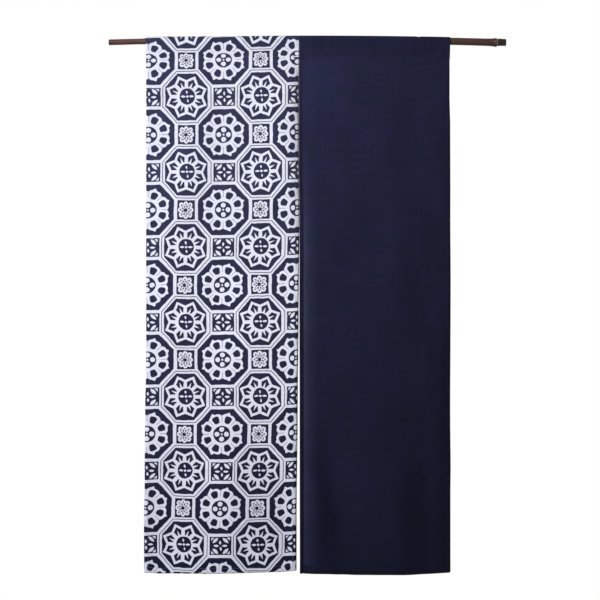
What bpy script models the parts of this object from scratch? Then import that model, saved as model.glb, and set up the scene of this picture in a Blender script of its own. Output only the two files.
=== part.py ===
"""A noren curtain: a printed and a plain cotton panel, sewn side by side, on a bamboo rod.

Metres, +Z up. The origin is on the rod's axis above the top of the slit. The cloth faces -Y. Each
panel is one piece of cloth: its top is folded back over the rod and sewn down as a pocket, and its
sides and bottom are folded back as hems. Below the seam the panels part at the slit.
"""

import math
from collections import namedtuple

import bmesh
import bpy

# Cloth sizes
PRINTED_WIDTH = 0.4284
PLAIN_WIDTH = 0.4222
SEAM_GAP = 0.0003
SEAM_TOP = -0.0022
CLOTH = 0.0014
HEM_CLOTH = 0.0026
SIDE_HEM = 0.0130
BOTTOM_HEM = 0.0190
HEM_STEP = 0.0020
POCKET_DEPTH = 0.0582
POCKET_SEWING = 0.0030

# Rod sizes
ROD_LEFT = -0.5348
ROD_RIGHT = 0.5768
ROD_TAPER_FROM = (-0.448, 0.00780)
ROD_TAPER_TO = (0.448, 0.00990)
ROD_STUB_RADIUS = 0.0093
ROD_BOW = 0.0280
FIRST_NODE = 0.549
NODE_PITCH = 0.252
NODE_SHORTENING = 0.006
NODE_COUNT = 5
NODE_RISE = 0.0010
NODE_HALF_WIDTH = 0.0045
ROD_SIDE_STEPS = 7
ROD_PLAIN_STEPS = 5

# How the pocket lies on the rod
ROD_GAP = 0.0003
POCKET_SLACK = 0.0008

# Mesh steps
COLUMNS_BETWEEN_HEMS = 17
ROWS_BELOW_POCKET = 44
POCKET_SIDE_STEPS = 3
POCKET_ARC_STEPS = 12

# Where the sides of the cloth lie: the height and the place across, from the top down
Edge = namedtuple("Edge", "height x")
PRINTED_SIDE = -0.4306
PRINTED_OUTER = (
    Edge(0.000, PRINTED_SIDE),
    Edge(-0.900, PRINTED_SIDE),
    Edge(-1.040, PRINTED_SIDE - 0.0031),
    Edge(-1.230, PRINTED_SIDE - 0.0048),
    Edge(-1.360, PRINTED_SIDE - 0.0079),
    Edge(-1.430, PRINTED_SIDE - 0.0070),
    Edge(-1.500, PRINTED_SIDE - 0.0040),
)
PRINTED_INNER = (
    Edge(0.000, SEAM_TOP - SEAM_GAP / 2),
    Edge(-0.360, SEAM_TOP - SEAM_GAP / 2),
    Edge(-0.510, -SEAM_GAP / 2),
    Edge(-0.760, -0.0016),
    Edge(-1.040, -0.0050),
    Edge(-1.340, -0.0087),
    Edge(-1.500, -0.0090),
)
PLAIN_INNER = (
    Edge(0.000, SEAM_TOP + SEAM_GAP / 2),
    Edge(-0.360, SEAM_TOP + SEAM_GAP / 2),
    Edge(-0.510, SEAM_GAP / 2),
    Edge(-0.760, 0.0008),
    Edge(-1.500, 0.0012),
)
PLAIN_SIDE = 0.4200
PLAIN_OUTER = (
    Edge(0.000, PLAIN_SIDE),
    Edge(-0.480, PLAIN_SIDE + 0.0012),
    Edge(-0.690, PLAIN_SIDE + 0.0023),
    Edge(-1.030, PLAIN_SIDE + 0.0008),
    Edge(-1.250, PLAIN_SIDE + 0.0019),
    Edge(-1.500, PLAIN_SIDE + 0.0018),
)

# The bottom edges, from left to right
MEAN_BOTTOM = -1.494
Bottom = namedtuple("Bottom", "x height")
PRINTED_BOTTOM = (
    Bottom(-0.4350, -1.4919),
    Bottom(-0.3600, -1.4950),
    Bottom(-0.2800, -1.4961),
    Bottom(-0.1700, -1.4946),
    Bottom(-0.0560, -1.4908),
    Bottom(-0.0090, -1.4884),
)
PLAIN_BOTTOM = (
    Bottom(0.0010, -1.4955),
    Bottom(0.0560, -1.4978),
    Bottom(0.1400, -1.4997),
    Bottom(0.2240, -1.5006),
    Bottom(0.3080, -1.5000),
    Bottom(0.3640, -1.4980),
    Bottom(0.4200, -1.4955),
)

# Folds: each is a soft ridge along a line, which rises towards the front where rise is positive
Fold = namedtuple("Fold", "top_x top_z low_x low_z width rise")
FOLDS = (
    Fold(0.000, -0.060, 0.000, -0.230, 0.030, -0.0050),
    Fold(-0.050, -0.080, -0.055, -0.420, 0.045, 0.0050),
    Fold(-0.215, -0.100, -0.190, -0.480, 0.060, -0.0040),
    Fold(-0.345, -0.300, -0.330, -0.760, 0.070, 0.0045),
    Fold(-0.120, -0.560, -0.150, -0.980, 0.060, 0.0040),
    Fold(-0.205, -1.020, -0.225, -1.560, 0.085, 0.0090),
    Fold(-0.345, -1.130, -0.375, -1.560, 0.060, -0.0080),
    Fold(-0.045, -1.160, -0.020, -1.560, 0.050, -0.0090),
    Fold(0.040, -0.100, 0.055, -0.300, 0.035, 0.0030),
    Fold(0.215, -0.120, 0.245, -0.520, 0.055, 0.0040),
    Fold(0.368, -0.360, 0.366, -0.510, 0.022, -0.0030),
    Fold(0.250, -0.560, 0.262, -0.860, 0.060, 0.0050),
    Fold(0.390, -0.640, 0.340, -0.860, 0.040, -0.0040),
    Fold(0.425, -0.055, 0.425, -1.560, 0.022, -0.0040),
    Fold(0.036, -1.010, 0.050, -1.560, 0.025, 0.0045),
    Fold(0.065, -1.100, 0.135, -1.560, 0.045, -0.0080),
    Fold(0.212, -0.960, 0.222, -1.560, 0.080, 0.0100),
    Fold(0.420, -1.180, 0.355, -1.560, 0.075, -0.0110),
    Fold(0.480, -0.140, 0.480, -1.600, 0.130, -0.0120),
)
FOLD_FADE = 0.090

COLOURS = {
    "printed_panel": ((0.36, 0.37, 0.46, 1.0), 0.90),
    "plain_panel": ((0.0135, 0.0140, 0.0330, 1.0), 0.92),
    "rod": ((0.105, 0.070, 0.055, 1.0), 0.45),
}


def clear_scene():
    for thing in list(bpy.data.objects):
        bpy.data.objects.remove(thing, do_unlink=True)


def smooth(share):
    """Turns a share from 0 to 1 into one that starts and ends level."""
    share = min(max(share, 0.0), 1.0)
    return share * share * (3.0 - 2.0 * share)


def between(rows, place):
    """Reads a short table of two columns at a place in its first one, with soft changes."""
    for low, high in zip(rows, rows[1:]):
        first, last = sorted((low[0], high[0]))
        if first <= place <= last:
            share = (place - low[0]) / (high[0] - low[0])
            return low[1] + (high[1] - low[1]) * smooth(share)
    nearest = min((rows[0], rows[-1]), key=lambda row: abs(row[0] - place))
    return nearest[1]


def across(left_edge, right_edge, share, z):
    """The place across at a share of the way from the left side of a panel to its right one."""
    left = between(left_edge, z)
    return left + (between(right_edge, z) - left) * share


def rod_axis(x):
    """The height of the rod's axis: the rod is bowed upwards in its middle."""
    return -ROD_BOW * x * x


def node_places():
    """The rings of the bamboo, from the thick end, which stand closer towards the thin one."""
    places = []
    x = FIRST_NODE
    for count in range(NODE_COUNT):
        places.append(x)
        x -= NODE_PITCH - NODE_SHORTENING * count
    return places


def rod_radius(x):
    """The rod's radius without its rings. It tapers to the left, and its stub is thinner."""
    (x_from, r_from), (x_to, r_to) = ROD_TAPER_FROM, ROD_TAPER_TO
    radius = r_from + (r_to - r_from) * (x - x_from) / (x_to - x_from)
    past_ring = smooth((x - FIRST_NODE) / (ROD_RIGHT - FIRST_NODE))
    return radius + (ROD_STUB_RADIUS - radius) * past_ring


def ring_rise(x):
    """How far the nearest ring of the bamboo stands out of the rod."""
    nearest = min(abs(x - place) for place in node_places())
    return NODE_RISE * smooth(1.0 - nearest / (2.0 * NODE_HALF_WIDTH))


def fold_rise(x, z):
    """How far the folds bring the cloth forward at a place on it."""
    total = 0.0
    for fold in FOLDS:
        run_x = fold.low_x - fold.top_x
        run_z = fold.low_z - fold.top_z
        length = math.hypot(run_x, run_z)
        along = ((x - fold.top_x) * run_x + (z - fold.top_z) * run_z) / length
        sideways = ((x - fold.top_x) * run_z - (z - fold.top_z) * run_x) / length
        fade = smooth(along / FOLD_FADE) * smooth((length - along) / FOLD_FADE)
        total += fold.rise * fade * math.exp(-((sideways / fold.width) ** 2))
    return total


def steps(first, last, count):
    """Even places from first to last, both included."""
    return [first + (last - first) * index / count for index in range(count + 1)]


def column_shares(width):
    """Places across a panel as shares of its width, with close pairs where the hems end."""
    hem = SIDE_HEM / width
    step = HEM_STEP / width
    middle = steps(hem + step, 1.0 - hem - step, COLUMNS_BETWEEN_HEMS)
    return [0.0, hem] + middle + [1.0 - hem, 1.0]


def row_shares(drop):
    """Places down to up as shares of the drop below the pocket, with a close pair at the hem."""
    hem = BOTTOM_HEM / drop
    step = HEM_STEP / drop
    return [0.0, hem] + steps(hem + step, 1.0, ROWS_BELOW_POCKET)


def hanging_cloth(x, z, thick):
    """A front and a back point of the cloth below the pocket."""
    front = -CLOTH / 2 - fold_rise(x, z)
    return (x, front, z), (x, front + thick, z)


def pocket_section(x, sewing, thick):
    """Outer and inner points of the pocket, up its front, over the rod and down its back."""
    inner = rod_radius(x) + NODE_RISE + POCKET_SLACK
    outer = inner + thick
    centre = rod_axis(x) + ROD_GAP - POCKET_SLACK
    upper_sewing = sewing + POCKET_SEWING
    lean = math.asin(outer / (centre - upper_sewing))
    pairs = []
    lowest = (outer * math.cos(lean), inner * math.cos(lean), centre - outer * math.sin(lean))
    for share in steps(0.0, 1.0, POCKET_SIDE_STEPS)[1:-1]:
        z = upper_sewing + (lowest[2] - upper_sewing) * share
        front = -CLOTH / 2 + (CLOTH / 2 - lowest[0]) * share
        pairs.append(((x, front, z), (x, front + thick, z)))
    for angle in steps(-lean, math.pi + lean, POCKET_ARC_STEPS):
        y, z = -math.cos(angle), math.sin(angle)
        pairs.append(((x, outer * y, centre + outer * z), (x, inner * y, centre + inner * z)))
    end = -CLOTH / 2 + thick
    for share in steps(1.0, 0.0, POCKET_SIDE_STEPS)[1:-1]:
        z = upper_sewing + (lowest[2] - upper_sewing) * share
        back = end + thick + (lowest[0] - end - thick) * share
        pairs.append(((x, back, z), (x, back - thick, z)))
    return pairs, (x, end + thick, upper_sewing)


def panel_mesh(name, width, left_edge, right_edge, bottom_edge):
    """One piece of cloth with its pocket and hems, lofted across from section to section."""
    shares = column_shares(width)
    mesh = bmesh.new()
    columns = []
    for index, share in enumerate(shares):
        at_hem = index in (0, 1, len(shares) - 2, len(shares) - 1)
        columns.append(panel_column(mesh, share, at_hem, left_edge, right_edge, bottom_edge))
    for left, right in zip(columns, columns[1:]):
        join_columns(mesh, left, right)
    close_side(mesh, columns[0])
    close_side(mesh, columns[-1])
    bmesh.ops.recalc_face_normals(mesh, faces=mesh.faces)
    data = bpy.data.meshes.new(name)
    mesh.to_mesh(data)
    mesh.free()
    return data


def panel_column(mesh, share, at_hem, left_edge, right_edge, bottom_edge):
    """The points of one upright section: fronts, backs and the row where the pocket is sewn."""
    top_x = across(left_edge, right_edge, share, 0.0)
    sewing = rod_axis(top_x) + rod_radius(top_x) + CLOTH - POCKET_DEPTH
    bottom = between(bottom_edge, across(left_edge, right_edge, share, MEAN_BOTTOM))
    fronts, backs = [], []
    for row, up in enumerate(row_shares(sewing - bottom)):
        z = bottom + (sewing - bottom) * up
        x = across(left_edge, right_edge, share, z)
        thick = HEM_CLOTH if at_hem or row < 2 else CLOTH
        front, back = hanging_cloth(x, z, thick)
        fronts.append(mesh.verts.new(front))
        backs.append(mesh.verts.new(back))
    sewn_row = len(fronts) - 1
    thick = HEM_CLOTH if at_hem else CLOTH
    upper = sewing + POCKET_SEWING
    fronts.append(mesh.verts.new((top_x, -CLOTH / 2, upper)))
    backs.append(mesh.verts.new((top_x, -CLOTH / 2 + thick, upper)))
    pairs, end = pocket_section(top_x, sewing, thick)
    for outer, inner in pairs:
        fronts.append(mesh.verts.new(outer))
        backs.append(mesh.verts.new(inner))
    fronts.append(mesh.verts.new(end))
    backs.append(backs[sewn_row + 1])
    return fronts, backs, sewn_row


def join_columns(mesh, left, right):
    """The faces between two neighbouring sections."""
    fronts, backs, sewn = left
    next_fronts, next_backs, _ = right
    for row in range(len(fronts) - 1):
        mesh.faces.new((fronts[row], next_fronts[row], next_fronts[row + 1], fronts[row + 1]))
        if row != sewn:
            mesh.faces.new((backs[row], backs[row + 1], next_backs[row + 1], next_backs[row]))
    mesh.faces.new((fronts[-1], next_fronts[-1], next_backs[sewn], backs[sewn]))
    mesh.faces.new((fronts[0], backs[0], next_backs[0], next_fronts[0]))


def close_side(mesh, column):
    """The cut side of a panel, between the fronts and the backs of its last section."""
    fronts, backs, sewn = column
    for row in range(len(fronts) - 1):
        mesh.faces.new((fronts[row], fronts[row + 1], backs[row + 1], backs[row]))
    mesh.faces.new((fronts[-1], backs[sewn], backs[sewn + 1]))


def material(name):
    colour, roughness = COLOURS[name]
    made = bpy.data.materials.new(name)
    made.use_nodes = True
    shader = made.node_tree.nodes["Principled BSDF"]
    shader.inputs["Base Color"].default_value = colour
    shader.inputs["Roughness"].default_value = roughness
    shader.inputs["Metallic"].default_value = 0.0
    made.diffuse_color = colour
    return made


def add_object(name, data, collection):
    thing = bpy.data.objects.new(name, data)
    collection.objects.link(thing)
    data.materials.append(material(name))
    return thing


def rod_stations():
    """Places along the rod: a few close ones at each ring, and even ones between the rings."""
    marks = [ROD_LEFT, ROD_RIGHT]
    stops = [ROD_LEFT] + sorted(node_places()) + [ROD_RIGHT]
    for first, last in zip(stops, stops[1:]):
        count = max(1, round(ROD_PLAIN_STEPS * (last - first) / NODE_PITCH))
        marks += steps(first, last, count)[1:-1]
    for place in node_places():
        marks += [place + offset * NODE_HALF_WIDTH for offset in (-2.0, -1.0, 0.0, 1.0, 2.0)]
    return sorted(mark for mark in marks if ROD_LEFT <= mark <= ROD_RIGHT)


def rod_curve(name):
    """The bamboo rod: a bevelled curve that follows its bow, taper and rings."""
    curve = bpy.data.curves.new(name, "CURVE")
    curve.dimensions = "3D"
    curve.bevel_depth = 1.0
    curve.bevel_resolution = ROD_SIDE_STEPS
    curve.use_fill_caps = True
    places = rod_stations()
    line = curve.splines.new("POLY")
    line.points.add(len(places) - 1)
    for point, x in zip(line.points, places):
        point.co = (x, 0.0, rod_axis(x), 1.0)
        point.radius = rod_radius(x) + ring_rise(x)
    line.use_smooth = True
    return curve


def main():
    clear_scene()
    parts = bpy.data.collections.new("noren_curtain")
    bpy.context.scene.collection.children.link(parts)
    add_object("rod", rod_curve("rod"), parts)
    printed = panel_mesh(
        "printed_panel", PRINTED_WIDTH, PRINTED_OUTER, PRINTED_INNER, PRINTED_BOTTOM
    )
    plain = panel_mesh("plain_panel", PLAIN_WIDTH, PLAIN_INNER, PLAIN_OUTER, PLAIN_BOTTOM)
    for name, data in (("printed_panel", printed), ("plain_panel", plain)):
        add_object(name, data, parts)
        data.shade_smooth()


main()
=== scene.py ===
"""The looks of a noren curtain: a printed and a plain cotton panel on a bamboo rod.

Metres, +Z up, the cloth facing -Y, with the origin on the rod's axis above the top of the slit.
The print is drawn in millimetres by the nodes of its material, as a lattice of two octagons and two
squares with a flower, a star or leaves in each.
"""

import math
from collections import namedtuple

import bpy
import numpy as np
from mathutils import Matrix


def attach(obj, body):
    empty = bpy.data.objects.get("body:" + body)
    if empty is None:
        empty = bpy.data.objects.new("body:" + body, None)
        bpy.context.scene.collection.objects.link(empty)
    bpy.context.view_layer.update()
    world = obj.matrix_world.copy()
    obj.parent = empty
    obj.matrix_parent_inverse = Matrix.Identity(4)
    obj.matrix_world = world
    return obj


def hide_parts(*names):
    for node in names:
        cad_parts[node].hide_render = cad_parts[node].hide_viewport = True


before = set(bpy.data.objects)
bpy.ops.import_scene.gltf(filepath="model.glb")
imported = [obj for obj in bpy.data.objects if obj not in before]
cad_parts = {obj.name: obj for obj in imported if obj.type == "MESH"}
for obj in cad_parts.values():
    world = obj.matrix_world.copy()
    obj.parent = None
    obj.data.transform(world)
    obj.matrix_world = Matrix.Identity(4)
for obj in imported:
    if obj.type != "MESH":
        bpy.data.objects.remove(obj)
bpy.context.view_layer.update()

# Sizes of the cloth and the rod, as the solids have them
PRINTED_WIDTH = 0.4284
PLAIN_WIDTH = 0.4222
SEAM_GAP = 0.0003
SEAM_TOP = -0.0030
SIDE_HEM = 0.0130
BOTTOM_HEM = 0.0190
POCKET_DEPTH = 0.0582
SOLID_CLOTH = 0.0014
ROD_LEFT = -0.5348
ROD_RIGHT = 0.5768
ROD_TAPER_FROM = (-0.448, 0.00780)
ROD_TAPER_TO = (0.448, 0.00990)
ROD_STUB_RADIUS = 0.0093
ROD_BOW = 0.0280
FIRST_NODE = 0.549
NODE_PITCH = 0.252
NODE_SHORTENING = 0.006
NODE_COUNT = 5
NODE_RISE = 0.0010
ROD_GAP = 0.0003
POCKET_SLACK = 0.0008

# The fine cloth: its thickness, its hems and the steps of its mesh
CLOTH = 0.0007
HEM_FRONT = 0.00012
HEM_BACK = 0.0010
HEM_EDGE = 0.0014
HEM_STEPS = 6
ACROSS_STEP = 0.0046
PUCKER = 0.00022
PUCKER_PITCH = 0.0105

# Where the sides and bottoms of the panels lie, as the solids have them
Edge = namedtuple("Edge", "height x")
PRINTED_SIDE = -0.4306
PRINTED_OUTER = (
    Edge(0.000, PRINTED_SIDE),
    Edge(-0.900, PRINTED_SIDE),
    Edge(-1.040, PRINTED_SIDE - 0.0031),
    Edge(-1.230, PRINTED_SIDE - 0.0048),
    Edge(-1.360, PRINTED_SIDE - 0.0070),
    Edge(-1.430, PRINTED_SIDE - 0.0066),
    Edge(-1.500, PRINTED_SIDE - 0.0062),
)
PRINTED_INNER = (
    Edge(0.000, SEAM_TOP - SEAM_GAP / 2),
    Edge(-0.360, SEAM_TOP - SEAM_GAP / 2),
    Edge(-0.510, -0.0010 - SEAM_GAP / 2),
    Edge(-0.760, -0.0036),
    Edge(-1.040, -0.0062),
    Edge(-1.340, -0.0093),
    Edge(-1.500, -0.0094),
)
PLAIN_INNER = (
    Edge(0.000, SEAM_TOP + SEAM_GAP / 2),
    Edge(-0.360, SEAM_TOP + SEAM_GAP / 2),
    Edge(-0.510, SEAM_GAP / 2 - 0.0010),
    Edge(-0.760, -0.0013),
    Edge(-1.040, -0.0007),
    Edge(-1.500, -0.0001),
)
PLAIN_SIDE = 0.4200
PLAIN_OUTER = (
    Edge(0.000, PLAIN_SIDE),
    Edge(-0.050, PLAIN_SIDE - 0.0008),
    Edge(-0.150, PLAIN_SIDE),
    Edge(-0.240, PLAIN_SIDE + 0.0030),
    Edge(-0.480, PLAIN_SIDE + 0.0036),
    Edge(-0.690, PLAIN_SIDE + 0.0048),
    Edge(-1.030, PLAIN_SIDE + 0.0034),
    Edge(-1.250, PLAIN_SIDE + 0.0052),
    Edge(-1.500, PLAIN_SIDE + 0.0050),
)
Bottom = namedtuple("Bottom", "x height")
MEAN_BOTTOM = -1.494
PRINTED_BOTTOM = (
    Bottom(-0.4350, -1.4948),
    Bottom(-0.3920, -1.4979),
    Bottom(-0.3500, -1.4971),
    Bottom(-0.2800, -1.4961),
    Bottom(-0.1700, -1.4940),
    Bottom(-0.1150, -1.4931),
    Bottom(-0.0560, -1.4926),
    Bottom(-0.0090, -1.4908),
)
PLAIN_BOTTOM = (
    Bottom(0.0010, -1.4976),
    Bottom(0.0300, -1.4972),
    Bottom(0.0560, -1.4968),
    Bottom(0.1100, -1.4997),
    Bottom(0.1680, -1.5013),
    Bottom(0.2620, -1.4990),
    Bottom(0.3450, -1.5013),
    Bottom(0.4200, -1.4978),
)

# Folds: soft ridges along lines, towards the front where rise is positive
Fold = namedtuple("Fold", "top_x top_z low_x low_z width rise")
MAIN_FOLDS = (
    Fold(0.000, -0.060, 0.000, -0.230, 0.030, -0.0050),
    Fold(-0.050, -0.080, -0.055, -0.420, 0.045, 0.0050),
    Fold(-0.215, -0.100, -0.190, -0.480, 0.060, -0.0040),
    Fold(-0.345, -0.300, -0.330, -0.760, 0.070, 0.0045),
    Fold(-0.120, -0.560, -0.150, -0.980, 0.060, 0.0040),
    Fold(-0.205, -1.020, -0.225, -1.560, 0.085, 0.0090),
    Fold(-0.345, -1.130, -0.375, -1.560, 0.060, -0.0080),
    Fold(-0.045, -1.160, -0.020, -1.560, 0.050, -0.0090),
    Fold(0.040, -0.100, 0.055, -0.300, 0.035, 0.0030),
    Fold(0.215, -0.120, 0.245, -0.520, 0.055, 0.0040),
    Fold(0.368, -0.360, 0.366, -0.510, 0.022, -0.0030),
    Fold(0.250, -0.560, 0.262, -0.860, 0.060, 0.0050),
    Fold(0.390, -0.640, 0.340, -0.860, 0.040, -0.0040),
    Fold(0.425, -0.055, 0.425, -1.560, 0.022, -0.0040),
    Fold(0.036, -1.010, 0.050, -1.560, 0.025, 0.0045),
    Fold(0.065, -1.100, 0.135, -1.560, 0.045, -0.0080),
    Fold(0.212, -0.960, 0.222, -1.560, 0.080, 0.0100),
    Fold(0.420, -1.180, 0.355, -1.560, 0.075, -0.0110),
    Fold(0.480, -0.140, 0.480, -1.600, 0.130, -0.0120),
)
MAIN_FADE = 0.090
SOFT_FOLDS = (
    Fold(0.001, 0.000, -0.001, -0.640, 0.017, -0.0054),
    Fold(-0.190, -1.100, -0.215, -1.600, 0.050, 0.0040),
    Fold(-0.415, -1.150, -0.400, -1.600, 0.035, -0.0040),
    Fold(0.060, -1.080, 0.064, -1.600, 0.026, 0.0040),
    Fold(0.040, -1.130, 0.215, -1.580, 0.036, -0.0085),
    Fold(0.280, -1.120, 0.286, -1.600, 0.040, 0.0070),
    Fold(0.352, -1.140, 0.346, -1.600, 0.030, -0.0060),
    Fold(0.400, -0.420, 0.380, -0.900, 0.060, -0.0045),
    Fold(0.275, -0.360, 0.275, -0.800, 0.030, 0.0030),
    Fold(0.120, -0.060, 0.130, -0.560, 0.060, 0.0030),
    Fold(0.330, -0.080, 0.300, -0.460, 0.040, -0.0030),
    Fold(-0.130, -0.100, -0.110, -0.520, 0.045, -0.0030),
    Fold(-0.300, -0.120, -0.320, -0.560, 0.045, 0.0030),
    Fold(0.150, -0.640, 0.140, -1.040, 0.050, 0.0030),
    Fold(-0.250, -0.660, -0.250, -1.080, 0.050, -0.0030),
)
CREASES = (
    Fold(0.182, -0.200, 0.120, -0.298, 0.009, 0.0009),
    Fold(0.098, -0.886, 0.030, -0.914, 0.007, 0.0008),
    Fold(0.216, -1.056, 0.126, -1.108, 0.006, -0.0009),
    Fold(0.282, -0.788, 0.258, -0.828, 0.008, -0.0007),
    Fold(0.404, -0.742, 0.332, -0.830, 0.010, 0.0016),
    Fold(0.386, -1.336, 0.300, -1.380, 0.008, -0.0015),
    Fold(0.412, -1.170, 0.330, -1.290, 0.014, -0.0018),
    Fold(0.352, -0.820, 0.350, -1.040, 0.016, 0.0022),
    Fold(0.208, -1.260, 0.210, -1.350, 0.006, 0.0006),
    Fold(0.180, -1.290, 0.120, -1.480, 0.016, 0.0014),
    Fold(0.250, -1.300, 0.300, -1.480, 0.016, 0.0012),
    Fold(0.300, -0.070, 0.292, -0.190, 0.012, -0.0008),
    Fold(0.120, -0.060, 0.124, -0.150, 0.010, 0.0007),
    Fold(0.330, -0.600, 0.338, -0.720, 0.014, -0.0010),
    Fold(-0.110, -0.070, -0.118, -0.210, 0.012, 0.0008),
    Fold(-0.300, -0.065, -0.292, -0.180, 0.012, -0.0008),
    Fold(-0.395, -0.420, -0.340, -0.500, 0.010, 0.0009),
    Fold(-0.160, -0.840, -0.240, -0.900, 0.009, -0.0008),
    Fold(-0.060, -1.060, -0.020, -1.130, 0.010, 0.0012),
    Fold(-0.250, -1.270, -0.300, -1.480, 0.016, 0.0013),
    Fold(-0.160, -1.290, -0.110, -1.480, 0.016, 0.0012),
    Fold(-0.420, -1.240, -0.380, -1.360, 0.012, -0.0014),
)
CREASE_FADE = 0.030
POCKET_CREASES = (
    Fold(0.069, 0.010, 0.067, -0.058, 0.0055, -0.0012),
    Fold(0.405, 0.000, 0.368, -0.052, 0.0060, -0.0014),
    Fold(0.398, 0.006, 0.392, -0.060, 0.0060, 0.0012),
    Fold(0.190, 0.008, 0.196, -0.050, 0.0090, 0.0008),
    Fold(0.300, 0.008, 0.290, -0.052, 0.0080, -0.0008),
    Fold(-0.030, 0.008, -0.036, -0.052, 0.0080, 0.0009),
    Fold(-0.150, 0.008, -0.142, -0.050, 0.0090, -0.0009),
    Fold(-0.290, 0.006, -0.300, -0.052, 0.0090, 0.0008),
    Fold(-0.410, 0.004, -0.398, -0.052, 0.0070, -0.0012),
)
POCKET_FADE = 0.014

# How far the pocket's top stands above where the rod holds it, along the rod
Rise = namedtuple("Rise", "x height")
POCKET_TOP = (
    Rise(-0.431, 0.0026),
    Rise(-0.377, 0.0022),
    Rise(-0.308, 0.0013),
    Rise(-0.238, 0.0004),
    Rise(-0.150, 0.0),
    Rise(0.322, 0.0),
    Rise(0.332, -0.0010),
    Rise(0.342, 0.0),
)

# The print, in millimetres of cloth
REPEAT = 209.3
FIRST_ROW_DEPTH = 0.1714
ROW_PITCH = 0.2117
ROW_CLOSING = 0.00042
ROW_SKEW = -0.0030
ROW_SKEW_EASE = 0.00060
SEAM_TAKE_UP = 0.85
STAR_HEART = (2.2, -1.3)
Drift = namedtuple("Drift", "depth x")
STAR_COLUMN = (
    Drift(0.0, 0.1139),
    Drift(0.32, 0.1138),
    Drift(0.70, 0.1100),
    Drift(1.10, 0.1127),
    Drift(1.42, 0.1104),
    Drift(1.54, 0.1066),
)
Dip = namedtuple("Dip", "place drop")
PRINT_DIPS = (
    Dip(0.0, 0.0026),
    Dip(0.054, 0.0027),
    Dip(0.123, 0.0051),
    Dip(0.193, 0.0062),
    Dip(0.340, 0.0061),
    Dip(0.430, 0.0044),
)
Slack = namedtuple("Slack", "depth drop")
POCKET_TAKE_UP = (Slack(0.0, 0.0114), Slack(0.034, 0.0114), Slack(0.088, 0.0008), Slack(0.2, 0.0))
Shift = namedtuple("Shift", "place x")
PRINT_SHIFTS = (
    Shift(0.0, -0.0024),
    Shift(0.060, 0.0),
    Shift(0.120, -0.0004),
    Shift(0.190, -0.0014),
    Shift(0.260, -0.0009),
    Shift(0.330, -0.0013),
    Shift(0.385, -0.0014),
    Shift(0.470, -0.0080),
)

SEAM_SIDE_SHIFT = (Shift(0.200, 0.0), Shift(0.270, 0.0014), Shift(0.400, 0.0015))
Depth = namedtuple("Depth", "depth share")
SHIFTED_DEPTHS = (Depth(0.60, 0.0), Depth(0.80, 1.0), Depth(1.05, 1.0), Depth(1.15, 0.0))


def smooth(share):
    """Turns a share from 0 to 1 into one that starts and ends level."""
    share = np.clip(share, 0.0, 1.0)
    return share * share * (3.0 - 2.0 * share)


def between(rows, place):
    """Reads a short table of two columns at places in its first one, with soft changes."""
    marks = np.array(sorted(tuple(row) for row in rows))
    place = np.clip(place, marks[0, 0], marks[-1, 0])
    index = np.clip(np.searchsorted(marks[:, 0], place, side="right") - 1, 0, len(marks) - 2)
    low, high = marks[index], marks[index + 1]
    share = smooth((place - low[..., 0]) / (high[..., 0] - low[..., 0]))
    return low[..., 1] + (high[..., 1] - low[..., 1]) * share


def across(left_edge, right_edge, share, z):
    left = between(left_edge, z)
    return left + (between(right_edge, z) - left) * share


def rod_axis(x):
    return -ROD_BOW * x * x


def node_places():
    """The rings of the bamboo, from the thick end, which stand closer towards the thin one."""
    places = []
    x = FIRST_NODE
    for count in range(NODE_COUNT):
        places.append(x)
        x -= NODE_PITCH - NODE_SHORTENING * count
    return places


def rod_radius(x):
    (x_from, r_from), (x_to, r_to) = ROD_TAPER_FROM, ROD_TAPER_TO
    radius = r_from + (r_to - r_from) * (x - x_from) / (x_to - x_from)
    past_ring = smooth((x - FIRST_NODE) / (ROD_RIGHT - FIRST_NODE))
    return radius + (ROD_STUB_RADIUS - radius) * past_ring


def fold_rise(folds, fade, x, z):
    """How far folds bring the cloth forward at places on it."""
    total = np.zeros(np.broadcast(x, z).shape)
    for fold in folds:
        run_x = fold.low_x - fold.top_x
        run_z = fold.low_z - fold.top_z
        length = math.hypot(run_x, run_z)
        along = ((x - fold.top_x) * run_x + (z - fold.top_z) * run_z) / length
        sideways = ((x - fold.top_x) * run_z - (z - fold.top_z) * run_x) / length
        ends = smooth(along / fade) * smooth((length - along) / fade)
        total += fold.rise * ends * np.exp(-((sideways / fold.width) ** 2))
    return total


def unevenness(x, z):
    """The slight, irregular puffing of washed cotton that hangs free."""
    slow = np.sin(21.0 * x + 3.1 * np.sin(4.3 * z)) * np.sin(9.0 * z + 2.0 * np.sin(11.0 * x))
    quick = np.sin(64.0 * x + 4.0 * np.sin(13.0 * z)) * np.sin(31.0 * z + 3.0 * np.sin(29.0 * x))
    return 0.00055 * slow + 0.00022 * quick


def even_steps(first, last, pitch):
    count = max(2, int(round(abs(last - first) / pitch)))
    return np.linspace(first, last, count + 1)


def hem_marks(length, hems):
    """Places from 0 to a length, with close pairs where hems end: first and last hem's width."""
    first, last = hems
    ends = []
    for hem in (first, last):
        close = np.linspace(0.0, hem, HEM_STEPS + 1)
        beside = hem + HEM_EDGE + np.arange(HEM_STEPS) * 2.0 * HEM_EDGE
        ends.append(np.concatenate([close, beside]) if hem else np.array([0.0]))
    inner = even_steps(ends[0][-1], length - ends[1][-1], ACROSS_STEP)[1:-1]
    return np.concatenate([ends[0], inner, length - ends[1][::-1]])


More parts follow.
